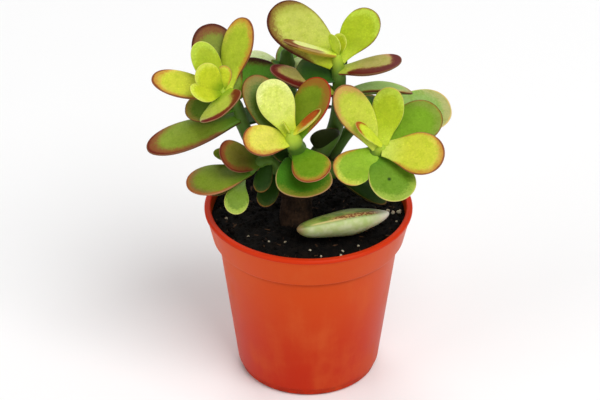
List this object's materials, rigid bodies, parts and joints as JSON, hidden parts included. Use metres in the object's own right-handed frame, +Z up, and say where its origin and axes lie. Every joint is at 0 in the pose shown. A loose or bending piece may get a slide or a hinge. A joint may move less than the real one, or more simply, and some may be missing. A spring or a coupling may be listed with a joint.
{
  "type": "potted jade plant",
  "caption": "Jade plant with fleshy oval leaves on forking green stems, growing in dark soil in a round collared plastic pot; a fallen leaf lies on the soil.",
  "frame": {"origin": "middle of the pot's underside, on the surface that the pot stands on", "axes": "+Z up along the pot's axis and out through its rim; +X to the right and -Y towards the viewer in the picture"},
  "size_m": [0.1511, 0.105, 0.1958],
  "materials": {
    "pot_plastic": "satin",
    "soil": "matte",
    "bark": "matte",
    "leaf": "satin",
    "fallen_leaf": "satin"
  },
  "bodies": {
    "root": {"pot": "pot_plastic", "soil": "soil", "trunk": "bark", "fallen_leaf": "fallen_leaf", "leafy_stem_top": "leaf", "leafy_stem_left": "leaf", "leafy_stem_front": "leaf", "leafy_stem_right": "leaf", "leafy_stem_far": "leaf", "leafy_stem_low": "leaf", "leafy_stem_back": "leaf"}
  },
  "joints": []
}
